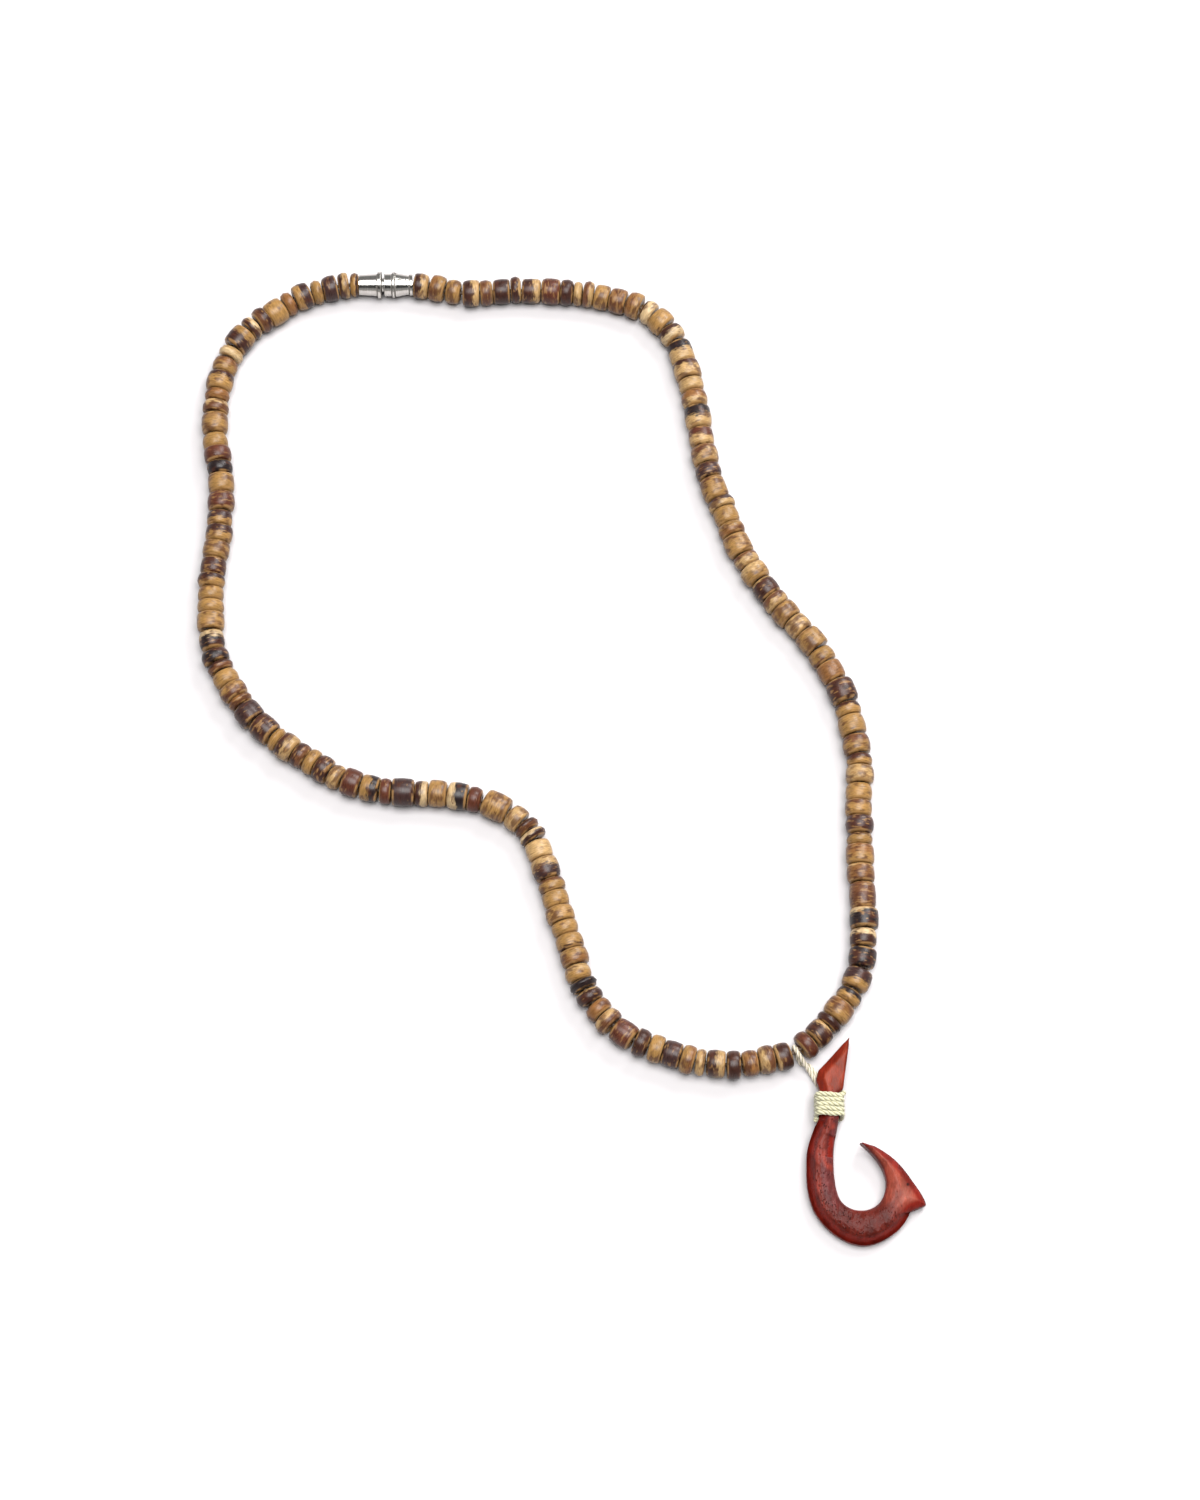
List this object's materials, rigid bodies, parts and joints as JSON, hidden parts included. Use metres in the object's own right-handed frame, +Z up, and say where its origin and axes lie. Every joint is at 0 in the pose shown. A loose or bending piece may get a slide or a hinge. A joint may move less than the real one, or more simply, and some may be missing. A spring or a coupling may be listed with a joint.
{
  "type": "bead necklace with hook pendant",
  "caption": "Wood and shell disc-bead necklace, a closed loop with a barrel clasp and a flat carved fish-hook pendant whipped with cord, lying flat.",
  "frame": {"origin": "on the surface the necklace lies on, under the middle of its bounding box", "axes": "+Z up from the surface; +Y from the pendant up to the clasp; +X to the right as seen from above"},
  "size_m": [0.1324, 0.1894, 0.0056],
  "materials": {
    "bead_wood": "satin, turned discs from golden tan to near black",
    "thread": "waxed thread",
    "clasp_metal": "bright silver plate",
    "hook_wood": "oiled dark red wood, satin",
    "lashing_cord": "twisted pale cord"
  },
  "bodies": {
    "root": {"bead_string_right": "bead_wood", "bead_string_left": "bead_wood", "stringing_cord": "thread", "clasp_socket": "clasp_metal", "clasp_screw": "clasp_metal", "fish_hook": "hook_wood", "lashing": "lashing_cord", "hanging_loop": "lashing_cord"}
  },
  "joints": []
}
